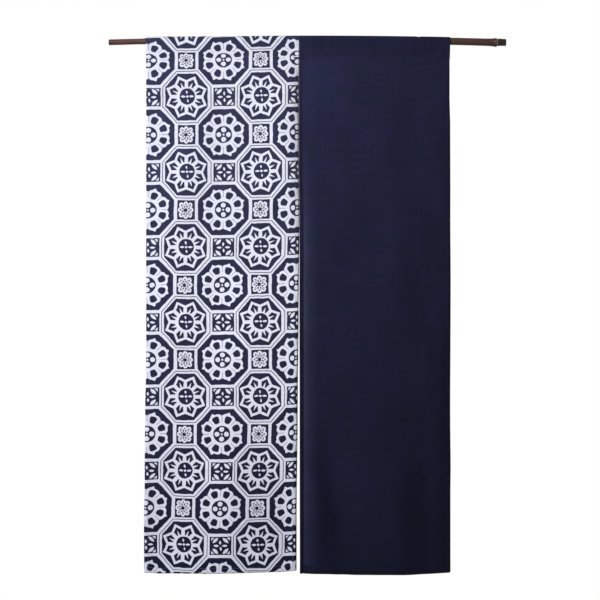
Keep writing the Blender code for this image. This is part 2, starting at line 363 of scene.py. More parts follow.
Panel = namedtuple("Panel", "name width left right bottom hem_roll")
Roll = namedtuple("Roll", "place rise")
PRINTED_ROLL = (
    Roll(0.0, -0.0022),
    Roll(0.0045, 0.0),
    Roll(PRINTED_WIDTH - 0.0150, 0.0),
    Roll(PRINTED_WIDTH - 0.0050, -0.0010),
    Roll(PRINTED_WIDTH, -0.0048),
)
PLAIN_ROLL = (
    Roll(0.0, 0.0),
    Roll(0.0020, 0.0002),
    Roll(0.0105, -0.0026),
    Roll(0.0180, 0.0),
    Roll(PLAIN_WIDTH - 0.0060, 0.0),
    Roll(PLAIN_WIDTH, -0.0060),
)
ROLL_GAIN = 0.9
BOTTOM_ROLL = 0.0052
BOTTOM_ROLL_HEIGHT = 0.0060
PRINTED = Panel(
    "printed_cloth", PRINTED_WIDTH, PRINTED_OUTER, PRINTED_INNER, PRINTED_BOTTOM, PRINTED_ROLL
)
PLAIN = Panel("plain_cloth", PLAIN_WIDTH, PLAIN_INNER, PLAIN_OUTER, PLAIN_BOTTOM, PLAIN_ROLL)


def sewing_height(x):
    return rod_axis(x) + rod_radius(x) + SOLID_CLOTH - POCKET_DEPTH


def hanging_rows(panel, shares):
    """Middle of the cloth from the bottom edge up to the sewn line: one row of points a height."""
    top_x = across(panel.left, panel.right, shares, 0.0)
    sewing = sewing_height(top_x)
    bottom = between(panel.bottom, across(panel.left, panel.right, shares, MEAN_BOTTOM))
    drop = float(np.mean(sewing - bottom))
    rows = []
    for length in hem_marks(drop, (BOTTOM_HEM, 0.0)):
        z = bottom + (sewing - bottom) * length / drop
        x = across(panel.left, panel.right, shares, z)
        forward = fold_rise(MAIN_FOLDS, MAIN_FADE, x, z)
        forward += fold_rise(SOFT_FOLDS, MAIN_FADE, x, z)
        forward += fold_rise(CREASES, CREASE_FADE, x, z)
        forward += unevenness(x, z) * smooth((sewing - z) / 0.060)
        gain = smooth((sewing - z) / 0.120) * (1.0 + ROLL_GAIN * smooth((-0.500 - z) / 0.700))
        forward += between(panel.hem_roll, shares * panel.width) * gain
        forward -= BOTTOM_ROLL * (1.0 - smooth(length / BOTTOM_ROLL_HEIGHT))
        forward += sewn_puckers(x, z, bottom + BOTTOM_HEM - 0.001, x)
        rows.append((x, -forward, z))
    return rows


def sewn_puckers(x, z, line, along):
    """Small waves beside a sewn line at a height, which die out within a hem's width."""
    near = np.exp(-(((z - line) / 0.010) ** 2))
    return PUCKER * near * np.sin(2.0 * math.pi * along / PUCKER_PITCH + 2.0 * np.sin(17.0 * along))


def pocket_rows(panel, shares):
    """Middle of the cloth up the pocket's front, over the rod and down to the flap's edge."""
    x = across(panel.left, panel.right, shares, 0.0)
    sewing = sewing_height(x)
    radius = rod_radius(x) + NODE_RISE + POCKET_SLACK + CLOTH / 2
    centre = rod_axis(x) + ROD_GAP - POCKET_SLACK + between(POCKET_TOP, x)
    lean = np.arcsin(radius / (centre - sewing))
    touch_y = radius * np.cos(lean)
    touch_z = centre - radius * np.sin(lean)
    rows = []
    for share in np.linspace(0.0, 1.0, 11)[1:-1]:
        rows.append((x, -touch_y * share, sewing + (touch_z - sewing) * share))
    for share in np.linspace(0.0, 1.0, 15):
        angle = -lean + (math.pi + 2.0 * lean) * share
        rows.append((x, -radius * np.cos(angle), centre + radius * np.sin(angle)))
    flap = CLOTH * 1.25
    for share in np.linspace(1.0, 0.0, 11)[1:]:
        y = flap + (touch_y - flap) * share
        rows.append((x, y, sewing + (touch_z - sewing) * share))
    for drop in (0.0012, 0.0026, 0.0040):
        rows.append((x, np.full_like(x, flap), sewing - drop))
    return rows


def press_pocket(rows):
    """Adds the pocket's own creases, outwards from the cloth, on its front only."""
    made = []
    for x, y, z in rows:
        on_front = smooth((0.002 - y) / 0.004)
        line = smooth((z - sewing_height(x)) / 0.008)
        rise = fold_rise(POCKET_CREASES, POCKET_FADE, x, z) + 0.0002 * np.sin(260.0 * x)
        rise += PUCKER * np.exp(-((z - sewing_height(x)) / 0.012) ** 2) * np.sin(700.0 * x)
        made.append((x, y - rise * on_front * line, z))
    return made


def sheet_grid(panel):
    """The cloth's middle as a grid of points, with its places across and its depths in metres."""
    shares = hem_marks(panel.width, (SIDE_HEM, SIDE_HEM)) / panel.width
    rows = hanging_rows(panel, shares)
    bottom_rows = len(rows)
    rows += press_pocket(pocket_rows(panel, shares))
    points = np.array(rows).transpose(0, 2, 1)
    runs = np.linalg.norm(np.diff(points, axis=0), axis=2)
    length = np.vstack([np.zeros(len(shares)), np.cumsum(runs, axis=0)])
    top_row = int(np.argmax(points[:, len(shares) // 2, 2]))
    depth = length[top_row] - length
    places = np.broadcast_to(shares * panel.width, depth.shape)
    return points, places, depth, bottom_rows


def grid_normals(points):
    """Unit directions out of the cloth's face."""
    down = np.gradient(points, axis=0)
    side = np.gradient(points, axis=1)
    normal = np.cross(side, down)
    return normal / np.linalg.norm(normal, axis=2, keepdims=True)


def thickness(panel, places, depth, bottom_rows):
    """How far the face and the back of the cloth lie from its middle, thicker at the hems."""
    from_side = np.minimum(places, panel.width - places)
    side = 1.0 - smooth((from_side - SIDE_HEM) / HEM_EDGE)
    rise = depth.max(axis=0) - depth
    low = 1.0 - smooth((rise - BOTTOM_HEM) / HEM_EDGE)
    hem = np.maximum(side, low)
    hem[bottom_rows:] = side[bottom_rows:] * 0.5
    edge = 0.35 + 0.65 * smooth(from_side / 0.0012) * smooth(rise / 0.0012)
    return (CLOTH / 2 + HEM_FRONT * hem) * edge, (CLOTH / 2 + HEM_BACK * hem) * edge


def print_map(places, depth):
    """Where each point lies in the print, in metres of even cloth from a star's middle."""
    take_up = between(POCKET_TAKE_UP, depth) * (1.0 - (1.0 - SEAM_TAKE_UP) * places / PRINTED_WIDTH)
    depth = depth - between(PRINT_DIPS, places) - take_up
    row = (depth - FIRST_ROW_DEPTH) / ROW_PITCH
    skew = ROW_SKEW + ROW_SKEW_EASE * row
    level = depth - FIRST_ROW_DEPTH - skew * (places - STAR_COLUMN[0].x) / (REPEAT / 1000.0)
    rows_down = ROW_PITCH - np.sqrt(ROW_PITCH**2 - 4.0 * ROW_CLOSING * level)
    rows_down /= 2.0 * ROW_CLOSING
    across_print = places - between(STAR_COLUMN, depth) - between(PRINT_SHIFTS, places)
    across_print -= between(SEAM_SIDE_SHIFT, places) * between(SHIFTED_DEPTHS, depth)
    return across_print, rows_down * REPEAT / 1000.0


def grid_faces(rows, columns, start, flip):
    """Corner numbers of a grid's faces."""
    index = start + np.arange(rows * columns).reshape(rows, columns)
    a, b, c, d = index[:-1, :-1], index[:-1, 1:], index[1:, 1:], index[1:, :-1]
    order = (a, d, c, b) if flip else (a, b, c, d)
    return np.stack(order, axis=-1).reshape(-1, 4)


def rim_faces(rows, columns):
    """Corner numbers of the faces that close the cloth's cut edge, from its face to its back."""
    index = np.arange(rows * columns).reshape(rows, columns)
    loop = np.concatenate(
        [index[0, :], index[1:, -1], index[-1, -2::-1], index[-2:0:-1, 0]]
    )
    following = np.roll(loop, -1)
    back = rows * columns
    return np.stack([loop, loop + back, following + back, following], axis=-1)


def cloth_object(panel, face_material, back_material, node, with_print):
    points, places, depth, bottom_rows = sheet_grid(panel)
    rows, columns = depth.shape
    normal = grid_normals(points)
    front, back = thickness(panel, places, depth, bottom_rows)
    face_points = points + normal * front[..., None]
    back_points = points - normal * back[..., None]
    corners = np.concatenate([face_points.reshape(-1, 3), back_points.reshape(-1, 3)])
    face_quads = grid_faces(rows, columns, 0, False)
    back_quads = grid_faces(rows, columns, rows * columns, True)
    rim_quads = rim_faces(rows, columns)
    quads = np.concatenate([face_quads, back_quads, rim_quads])
    data = bpy.data.meshes.new(panel.name)
    data.from_pydata(corners.tolist(), [], quads.tolist())
    flat = np.stack([places, -depth], axis=-1).reshape(-1, 2)
    weave = np.concatenate([flat, flat])
    add_map(data, "Weave", weave)
    if with_print:
        drawn = print_map(places, depth)
        folded = folded_print(panel, drawn, places, depth)
        add_map(data, "Print", np.concatenate([np.stack(pair, axis=-1).reshape(-1, 2)
                                               for pair in (drawn, folded)]))
    bake = np.stack([places / panel.width, np.linspace(0, 1, rows)[:, None] + 0 * places], -1)
    bake = bake.reshape(-1, 2) * (0.48, 0.98) + (0.01, 0.01)
    add_map(data, "OFBake", np.concatenate([bake, bake + (0.50, 0.0)]))
    data.materials.append(face_material)
    data.materials.append(back_material)
    kinds = np.zeros(len(quads), dtype=np.int32)
    kinds[len(face_quads):len(face_quads) + len(back_quads)] = 1 - hem_quads(panel, places, depth)
    data.polygons.foreach_set("material_index", kinds)
    data.shade_smooth()
    data.update()
    piece = bpy.data.objects.new(panel.name, data)
    bpy.context.scene.collection.objects.link(piece)
    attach(piece, "root")
    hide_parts(node)
    return piece, face_points, normal, places, depth


def on_hem(panel, places, depth):
    """Which points of the cloth's back lie on its left, right and bottom hem."""
    rise = depth[:1] - depth
    margin = HEM_EDGE / 2
    return (
        places < SIDE_HEM + margin,
        places > panel.width - SIDE_HEM - margin,
        rise < BOTTOM_HEM + margin,
    )


def folded_print(panel, drawn, places, depth):
    """The print as the back shows it, where the hems are the cloth's face folded over."""
    left, right, low = on_hem(panel, places, depth)
    x, y = drawn
    x = np.where(left, 2.0 * x[:, :1] - x, np.where(right, 2.0 * x[:, -1:] - x, x))
    y = np.where(low, 2.0 * y[:1] - y, y)
    return x, y


def hem_quads(panel, places, depth):
    """1 for each face of the back that lies on a hem, 0 for the others."""
    left, right, low = on_hem(panel, places, depth)
    hem = left | right | low
    whole = hem[:-1, :-1] & hem[:-1, 1:] & hem[1:, 1:] & hem[1:, :-1]
    return whole.astype(np.int32).ravel()


def add_map(data, name, per_point):
    """A UV map from one place a point."""
    layer = data.uv_layers.new(name=name)
    loops = np.empty(len(data.loops), dtype=np.int32)
    data.loops.foreach_get("vertex_index", loops)
    layer.data.foreach_set("uv", per_point[loops].astype(np.float32).ravel())


class Number:
    """A number in a material's nodes, which sums, products and comparisons build up."""

    def __init__(self, tree, socket):
        self.tree = tree
        self.socket = socket

    def apply(self, operation, *others):
        node = self.tree.nodes.new("ShaderNodeMath")
        node.operation = operation
        for place, value in enumerate((self,) + others):
            if isinstance(value, Number):
                self.tree.links.new(value.socket, node.inputs[place])
            else:
                node.inputs[place].default_value = value
        return Number(self.tree, node.outputs[0])

    def __add__(self, other):
        return self.apply("ADD", other)

    def __radd__(self, other):
        return self.apply("ADD", other)

    def __sub__(self, other):
        return self.apply("SUBTRACT", other)

    def __rsub__(self, other):
        return (self * -1.0) + other

    def __mul__(self, other):
        return self.apply("MULTIPLY", other)

    def __rmul__(self, other):
        return self.apply("MULTIPLY", other)

    def __truediv__(self, other):
        return self.apply("DIVIDE", other)

    def __neg__(self):
        return self * -1.0

    def __abs__(self):
        return self.apply("ABSOLUTE")

    def less(self, other):
        return self.apply("MINIMUM", other)

    def more(self, other):
        return self.apply("MAXIMUM", other)

    def rounded_more(self, other, softness):
        return self.apply("SMOOTH_MAX", other, softness)

    def wrap(self, size):
        """The distance to the nearest whole multiple of a size, with its sign."""
        return self.apply("WRAP", size / 2.0, -size / 2.0)

    def inked(self, softness):
        """1 well inside a shape whose edge is at 0, 0 well outside, soft in between."""
        node = self.tree.nodes.new("ShaderNodeMapRange")
        node.interpolation_type = "SMOOTHSTEP"
        self.tree.links.new(self.socket, node.inputs["Value"])
        node.inputs["From Min"].default_value = softness
        node.inputs["From Max"].default_value = -softness
        return Number(self.tree, node.outputs["Result"])


def length_of(x, y):
    return (x * x + y * y).apply("SQRT")


def union(*shapes):
    result = shapes[0]
    for shape in shapes[1:]:
        result = result.less(shape)
    return result


def common(*shapes):
    result = shapes[0]
    for shape in shapes[1:]:
        result = result.more(shape)
    return result


def octagon(x, y, half_wide, half_high, slant_x, slant_y, slant):
    """Distance outside an octagon, whose slanted sides lie at slant along their direction."""
    wide, high = abs(x), abs(y)
    return common(wide - half_wide, high - half_high, wide * slant_x + high * slant_y - slant)


def rectangle(x, y, half_wide, half_high):
    return (abs(x) - half_wide).more(abs(y) - half_high)


def circle(x, y, radius):
    return length_of(x, y) - radius


def lens(along, beside, half_long, half_wide):
    """A leaf with two points: its edge is a curve of second degree."""
    bulge = along * along * (half_wide / half_long**2)
    return abs(beside) + bulge - half_wide


def eighth(x, y):
    """Folds a place into one of eight like arms: along it, and beside it towards a diagonal."""
    wide, high = abs(x), abs(y)
    more, less = wide.more(high), wide.less(high)
    turn_cos, turn_sin = math.cos(math.pi / 8), math.sin(math.pi / 8)
    return more * turn_cos + less * turn_sin, less * turn_cos - more * turn_sin


def round_flower(x, y):
    """White parts of the flower of eight broad petals, each with a hole and a small nib."""
    along, turned = eighth(x, y)
    beside = abs(turned)
    parting = beside * math.cos(math.pi / 8) - along * math.sin(math.pi / 8)
    petal = circle(along - 37.4, beside, 22.2).rounded_more(along - 57.0, 3.0).more(parting - 0.1)
    upright = abs(y).apply("GREATER_THAN", abs(x))
    lean = upright * (x.apply("SIGN") * -4.4 - 1.2) + 1.2
    nib = (along + abs(turned - lean) * 1.05 - 63.6).more(46.0 - along)
    outline = petal.less(nib).less(length_of(x, y) - 45.0)
    sides = beside - along * 0.27 + 2.6
    far_end = length_of(along - 38.0, beside * 0.88) - 13.6
    hole = sides.rounded_more(far_end, 8.0).rounded_more(32.4 - along, 7.0) - 0.6
    disc = circle(x, y, 23.4)
    dots = circle(abs(x).more(abs(y)) - 13.1, abs(x).less(abs(y)), 6.7).less(circle(x, y, 2.6))
    return union(common(outline, -hole, -disc), dots)


def flower_partings(x, y):
    """Thin lines between the petals of the round flower."""
    along, turned = eighth(x, y)
    edge = along * math.sin(math.pi / 8) - abs(turned) * math.cos(math.pi / 8)
    return common(abs(edge) - 0.75, 33.0 - along, along - 52.0)


def star_flower(x, y):
    """White parts of the eight-pointed star, with a dark arrow and a slit in each point."""
    along, turned = eighth(x, y)
    beside = abs(turned)
    root_half = math.sqrt(0.5)
    point = (along + beside) * root_half
    outline = point - 43.8
    arrow = common(point - 37.2, beside - 6.5 - (along - 29.1) * 0.45, 28.4 - length_of(x, y))
    slit = common(beside - 2.9 + (along - 29.0) * 0.19, along - 42.5)
    x, y = x - STAR_HEART[0], y - STAR_HEART[1]
    disc = length_of(x, y * 0.94) - 21.6
    long_arm = lens(abs(x) - 11.4, y, 6.8, 2.8)
    short_arm = lens(abs(y) - 12.2, x - y * 0.12, 4.6, 2.5)
    cross = union(long_arm, short_arm, circle(x, y, 3.2))
    return union(common(outline, -union(common(arrow, -slit), disc)), cross)


def small_flower(x, y):
    """White parts of the small flower: eight petals, each with a tongue in a thin dark groove."""
    wide, high = abs(x * 1.12), abs(y)
    more, less = wide.more(high), wide.less(high)
    root_half = math.sqrt(0.5)
    along = more.more((more + less) * root_half - 2.4)
    beside = less.less((more - less) * root_half)
    petal = common(circle(along - 17.3, beside, 7.2), along + beside * 0.6 - 25.0)
    groove = lens(along - 9.6, beside, 10.0, 4.0)
    tongue = length_of((along - 13.4).more(0.0), beside) - 1.9
    centre = 5.2 - length_of(x + 0.9, y)
    return common(petal.less(along - 16.0), union(-groove, tongue), centre)


def leaf_square(x, y):
    """White parts of the square with four slanted leaves, a cross of small ones and corners."""
    wide, high = abs(x), abs(y)
    root_half = math.sqrt(0.5)
    off_x, off_y = wide - 14.0, high - 15.2
    leaf = lens((off_x - off_y) * root_half, (off_x + off_y) * root_half, 10.8, 4.2)
    side = lens(wide - 11.6, y, 7.4, 3.0)
    upright = lens(high - 9.0, x - y * 0.08, 5.6, 2.8)
    corner = common(wide - 25.6, high - 22.8, 40.0 - wide - high)
    return union(leaf, side, upright, corner)


def lattice_ink(x, y):
    """1 where the print is dark. x and y are millimetres from the middle of a star."""
    star_x, star_y = x.wrap(REPEAT), y.wrap(REPEAT)
    round_x, round_y = (x + REPEAT / 2).wrap(REPEAT), (y + REPEAT / 2).wrap(REPEAT)
    round_cell = octagon(round_x, round_y, 71.0, 70.4, 0.738, 0.675, 70.5)
    star_cell = octagon(star_x, star_y, 60.1, 65.5, 0.752, 0.659, 62.9)
    small_cell = rectangle(star_x - 0.5, round_y - 0.2, 24.8, 27.0)
    leaf_x = round_x - 2.1
    leaf_cell = rectangle(leaf_x, star_y, 30.2, 25.8)
    dark = union(
        common(round_cell, -round_flower(round_x, round_y)),
        common(star_cell, -star_flower(star_x, star_y)),
        common(small_cell, -small_flower(star_x + 0.6, round_y - 0.4)),
        common(leaf_cell, -leaf_square(leaf_x, star_y)),
    )
    line_cell = octagon(star_x - 1.6, star_y, 68.2, 71.9, 0.752, 0.659, 69.6)
    line = (abs(line_cell) - 1.12).inked(0.5) * 0.94
    partings = flower_partings(round_x, round_y).inked(0.6) * 0.65
    return dark.inked(0.55).more(line).more(partings)


class Material:
    """A material on one Principled shader, with short calls for the nodes it needs."""

    def __init__(self, name):
        self.made = bpy.data.materials.new(name)
        self.made.use_nodes = True
        self.tree = self.made.node_tree
        self.shader = self.tree.nodes["Principled BSDF"]

    def add(self, kind, **settings):
        node = self.tree.nodes.new(kind)
        for name, value in settings.items():
            setattr(node, name, value)
        return node

    def link(self, source, target):
        self.tree.links.new(source, target)

    def flat_map(self, name, scale):
        """The two places of a UV map as numbers, times a scale."""
        source = self.add("ShaderNodeUVMap", uv_map=name)
        split = self.add("ShaderNodeSeparateXYZ")
        self.link(source.outputs["UV"], split.inputs[0])
        return tuple(Number(self.tree, split.outputs[axis]) * scale for axis in range(2))

    def joined(self, x, y, z=0.0):
        node = self.add("ShaderNodeCombineXYZ")
        for place, value in enumerate((x, y, z)):
            if isinstance(value, Number):
                self.link(value.socket, node.inputs[place])
            else:
                node.inputs[place].default_value = value
        return node.outputs[0]

    def noise(self, vector, scale, detail=2.0, roughness=0.5):
        node = self.add("ShaderNodeTexNoise")
        node.inputs["Scale"].default_value = scale
        node.inputs["Detail"].default_value = detail
        node.inputs["Roughness"].default_value = roughness
        self.link(vector, node.inputs["Vector"])
        return Number(self.tree, node.outputs["Fac"])

    def ramp(self, value, low, high, to_low=0.0, to_high=1.0):
        node = self.add("ShaderNodeMapRange")
        self.link(value.socket, node.inputs["Value"])
        for name, number in zip(
            ("From Min", "From Max", "To Min", "To Max"), (low, high, to_low, to_high)
        ):
            node.inputs[name].default_value = number
        return Number(self.tree, node.outputs["Result"])

    def blend(self, factor, low, high):
        """A colour between two, each a colour or a socket."""
        node = self.add("ShaderNodeMix", data_type="RGBA")
        self.link(factor.socket, node.inputs["Factor"])
        for name, value in (("A", low), ("B", high)):
            socket = next(s for s in node.inputs if s.name == name and s.type == "RGBA")
            if hasattr(value, "is_output"):
                self.link(value, socket)
            else:
                socket.default_value = (*value, 1.0)
        return next(s for s in node.outputs if s.type == "RGBA")

    def scaled(self, colour, amount):
        """A colour socket times a number."""
        node = self.add("ShaderNodeVectorMath", operation="SCALE")
        self.link(colour, node.inputs[0])
        self.link(amount.socket, node.inputs["Scale"])
        return node.outputs[0]

    def tinted(self, colour, factor, tints):
        """A colour socket times a tint between two."""
        node = self.add("ShaderNodeVectorMath", operation="MULTIPLY")
        self.link(colour, node.inputs[0])
        self.link(self.blend(factor, *tints), node.inputs[1])
        return node.outputs[0]

    def bump(self, height, distance, strength=1.0):
        node = self.add("ShaderNodeBump")
        node.inputs["Strength"].default_value = strength
        node.inputs["Distance"].default_value = distance
        self.link(height.socket, node.inputs["Height"])
        self.link(node.outputs["Normal"], self.shader.inputs["Normal"])

    def set(self, **values):
        for name, value in values.items():
            self.shader.inputs[name.replace("_", " ")].default_value = value


def threads(material, x, y):
    """The slubs, the even weave and the lint of plain cotton, from millimetres across and down."""
    warp = material.noise(material.joined(x * 0.62, y * 0.011), 1.0, 3.0, 0.6)
    weft = material.noise(material.joined(x * 0.012, y * 0.58, 7.3), 1.0, 3.0, 0.6)
    slubs = warp * 0.5 + weft * 0.5
    pitch = math.pi / 0.55
    over = (x * pitch).apply("SINE") * (y * pitch).apply("SINE")
    lint = material.noise(material.joined(x * 0.9, y * 0.9, 3.1), 1.0, 2.0, 0.65)
    return slubs, over, lint


def printed_cotton(name, strength, navy_shaded_low, navy_sheen_top):
    """White cotton with the navy print. Its reverse takes the same print with less strength. The navy ink
    carries a painted sheen near the top and painted shade lower down and towards the right; the white
    carries painted shade lower down.
    """
    material = Material(name)
    weave_x, weave_y = material.flat_map("Weave", 1000.0)
    slubs, over, lint = threads(material, weave_x, weave_y)
    x, y = material.flat_map("Print", 1000.0)
    wander_x = material.noise(material.joined(x * 0.05, y * 0.05, 1.7), 1.0, 3.0, 0.65)
    wander_y = material.noise(material.joined(x * 0.05, y * 0.05, 9.2), 1.0, 3.0, 0.65)
    ink = lattice_ink(x + (wander_x - 0.5) * 4.0, y + (wander_y - 0.5) * 4.0)
    # The navy ink: a painted sheen near the top, fading to painted shade lower down.
    navy = material.blend(material.ramp(weave_y, -1500.0, -350.0), navy_shaded_low, navy_sheen_top)
    patches = material.noise(material.joined(x * 0.03, y * 0.03, 4.0), 1.0, 3.0, 0.6)
    navy = material.scaled(navy, material.ramp(patches, 0.3, 0.7, 0.80, 1.20))
    tint = material.noise(material.joined(x * 0.07, y * 0.07, 6.0), 1.0, 3.0, 0.6)
    navy = material.tinted(navy, material.ramp(tint, 0.35, 0.65), PRINT_TINTS)
    # The white is painted darker towards the bottom: painted shade.
    white = material.blend(material.ramp(weave_y, -1500.0, -780.0), WHITE_SHADED_LOW, WHITE_LIT_TOP)
    white = material.scaled(white, slubs * 0.24 + 0.88)
    # Painted shade: the navy ink is painted lighter at the left side and darker towards the right.
    navy = material.scaled(navy, material.ramp(weave_x, 0.0, 428.0, 1.04, 0.93))
    colour = material.blend(ink * strength, white, navy)
    colour = material.scaled(colour, material.ramp(slubs, 0.3, 0.7, 0.93, 1.07))
    material.link(colour, material.shader.inputs["Base Color"])
    material.bump(slubs * 0.7 + over * 0.10 + lint * 0.35, 0.0004)
    material.set(Roughness=0.9, Specular_IOR_Level=0.08, Sheen_Weight=0.03, Sheen_Roughness=0.5)
    return material.made


def navy_cotton(name):
    """Plain dyed cotton with slubs both ways, a little paler where threads stand proud. Its colour also
    holds painted light: a painted sheen near the top, painted shade lower down, towards the outer side,
    on the pocket and along the edges, and painted highlights along the slit-side hem and near the slit at
    the top.
    """
    material = Material(name)
    x, y = material.flat_map("Weave", 1000.0)
    slubs, over, lint = threads(material, x, y)
    clouds = material.noise(material.joined(x * 0.008, y * 0.006, 2.2), 1.0, 3.0, 0.5)
    # A painted sheen near the top, fading to painted shade lower down.
    depth = material.ramp(y, -1500.0, 0.0)
    colour = material.blend(depth, NAVY_SHADED_LOW, NAVY_SHEEN_TOP)
    tone = material.ramp(slubs, 0.32, 0.68, 0.70, 1.36) * material.ramp(lint, 0.25, 0.75, 0.85, 1.18)
    tone = tone * material.ramp(clouds, 0.3, 0.7, 0.90, 1.10)
    # Painted highlight along the slit-side hem, paler and warmer, where the hem's fold faces the light.
    ridge = material.ramp(x, 9.5, 13.5) * material.ramp(x, 62.0, 14.0)
    ridge = ridge * ridge * material.ramp(y, -300.0, -620.0) * material.ramp(y, -1494.0, -1486.0)
    # Painted light: the cloth near the slit, in its upper part below the pocket, is painted paler.
    painted_top_light = material.ramp(x, 2.0, 30.0) * material.ramp(x, 150.0, 30.0)
    painted_top_light = painted_top_light * material.ramp(y, -420.0, -120.0) * material.ramp(y, -40.0, -90.0)
    tone = tone * (ridge * HEM_PAINTED_HIGHLIGHT + painted_top_light * TOP_PAINTED_LIGHT + 1.0)
    # Painted shade: darker from the slit towards the outer side.
    tone = tone * material.ramp(x, 0.0, 420.0, 1.05, 0.80)
    # Painted shade low down along the outer side.
    side = material.ramp(x, 370.0, 412.0) * material.ramp(y, -650.0, -1000.0)
    tone = tone * (1.0 - side * SIDE_PAINTED_SHADE)
    # Painted shade on the pocket band, whose front faces slightly downwards.
    pocket = material.ramp(y, -84.0, -52.0) * material.ramp(x, 10.0, 60.0)
    tone = tone * (1.0 - pocket * POCKET_PAINTED_SHADE)
    # Painted shade: a dark line along both side edges and the bottom edge, from about 0.3 m down.
    width = PLAIN_WIDTH * 1000.0
    edge = material.ramp(x, 3.2, 0.4).more(material.ramp(x, width - 3.2, width - 0.4))
    edge = edge.more(material.ramp(y, -1505.0, -1509.0))
    tone = tone * (1.0 - edge * EDGE_PAINTED_SHADE * material.ramp(y, -300.0, -620.0))
    tint = material.noise(material.joined(x * 0.02, y * 0.02, 8.0), 1.0, 3.0, 0.6)
    colour = material.tinted(colour, material.ramp(tint, 0.35, 0.65), NAVY_TINTS)
    # The painted hem highlight also warms the tint.
    colour = material.tinted(colour, ridge, HEM_HIGHLIGHT_TINTS)
    material.link(material.scaled(colour, tone), material.shader.inputs["Base Color"])
    material.bump(slubs * 0.7 + over * 0.10 + lint * 0.35, 0.0004)
    material.set(Roughness=0.8, Specular_IOR_Level=0.10, Sheen_Weight=0.03, Sheen_Roughness=0.5)
    return material.made


def thread_cotton(name, colour):
    """Sewing thread: two plies twisted together."""
    material = Material(name)
    place = material.add("ShaderNodeTexCoord")
    twist = material.noise(place.outputs["Object"], 900.0, 2.0)
    tone = material.ramp(twist, 0.3, 0.7, 0.85, 1.15)
    base = material.add("ShaderNodeRGB")
    base.outputs[0].default_value = (*colour, 1.0)
    material.link(material.scaled(base.outputs[0], tone), material.shader.inputs["Base Color"])
    material.bump(twist, 0.0001)
    material.set(Roughness=0.75, Specular_IOR_Level=0.25)
    return material.made


# Colours, as light that comes back from the cloth
# The white print: painted lighter at the top and darker lower down, as painted shade.
WHITE_LIT_TOP = (0.731, 0.749, 0.866)
WHITE_SHADED_LOW = (0.543, 0.556, 0.662)
# The navy ink of the face and of the reverse: a painted sheen near the top and painted shade lower down.
NAVY_PRINT_SHEEN_TOP = (0.0310, 0.0345, 0.0745)
REVERSE_SHEEN_TOP = (0.085, 0.100, 0.215)
REVERSE_SHADED_LOW = (0.060, 0.072, 0.160)
NAVY_PRINT_SHADED_LOW = (0.0064, 0.0078, 0.0235)
# The plain navy: a painted sheen near the top and painted shade lower down.
NAVY_SHEEN_TOP = (0.0129, 0.0140, 0.0425)
NAVY_SHADED_LOW = (0.0030, 0.0037, 0.0160)
# Strength of the painted highlight along the slit-side hem.
HEM_PAINTED_HIGHLIGHT = 0.95
# Strength of the painted light near the slit at the top.
TOP_PAINTED_LIGHT = 0.26
# Strength of the painted shade on the pocket.
POCKET_PAINTED_SHADE = 0.13
# Strength of the painted shade along the edges.
EDGE_PAINTED_SHADE = 0.45
PRINT_TINTS = ((0.90, 1.02, 0.76), (1.10, 0.96, 1.30))
NAVY_TINTS = ((0.90, 1.05, 0.92), (1.10, 0.95, 1.08))
# Tint of the painted highlight along the slit-side hem.
HEM_HIGHLIGHT_TINTS = ((1.0, 1.0, 1.0), (1.60, 1.48, 0.98))
# Strength of the painted shade low on the outer side.
SIDE_PAINTED_SHADE = 0.26
NAVY_THREAD = (0.0120, 0.0130, 0.0350)
WHITE_THREAD = (0.340, 0.350, 0.430)

# Sewing: stitches are short raised lengths of thread
STITCH = 0.0027
STITCH_GAP = 0.0005
THREAD_RADIUS = 0.00015
SEWN_FROM_FOLD = 0.0015


def stitch_points(face_points, normal, places, depth, route):
    """Points of a sewn line, even steps apart, on the face of a cloth, with their directions."""
    rows, columns = route
    line = face_points[rows, columns]
    out = normal[rows, columns]
    runs = np.concatenate([[0.0], np.cumsum(np.linalg.norm(np.diff(line, axis=0), axis=1))])
    marks = np.arange(STITCH_GAP, runs[-1] - STITCH, STITCH)
    return [
        [np.stack([np.interp(mark + shift, runs, values[:, axis]) for axis in range(3)], -1)
         for values in (line, out)]
        for mark in marks
        for shift in (np.linspace(0.0, STITCH - STITCH_GAP, 4),)
    ]


def stitch_mesh(name, stitches, material):
    """All stitches of one thread as one mesh of small bent rods."""
    sides = 5
    corners, quads = [], []
    for line, out in stitches:
        along = line[-1] - line[0]
        along = along / np.linalg.norm(along)
        beside = np.cross(out[0], along)
        lift = np.array([-0.6, 1.0, 1.0, -0.6]) * THREAD_RADIUS
        wide = np.array([0.55, 1.0, 1.0, 0.55]) * THREAD_RADIUS
        start = len(corners)
        for step in range(4):
            middle = line[step] + out[step] * lift[step]
            for side in range(sides):
                angle = 2.0 * math.pi * side / sides
                turn = math.cos(angle) * beside + math.sin(angle) * out[step]
                corners.append(middle + turn * wide[step])
        for step in range(3):
            for side in range(sides):
                a = start + step * sides + side
                b = start + step * sides + (side + 1) % sides
                quads.append((a, b, b + sides, a + sides))
        quads.append(tuple(start + side for side in reversed(range(sides))))
        quads.append(tuple(start + 3 * sides + side for side in range(sides)))
    data = bpy.data.meshes.new(name)
    data.from_pydata([tuple(corner) for corner in corners], [], quads)
    data.materials.append(material)
    data.shade_smooth()
    piece = bpy.data.objects.new(name, data)
    bpy.context.scene.collection.objects.link(piece)
    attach(piece, "root")
    return piece


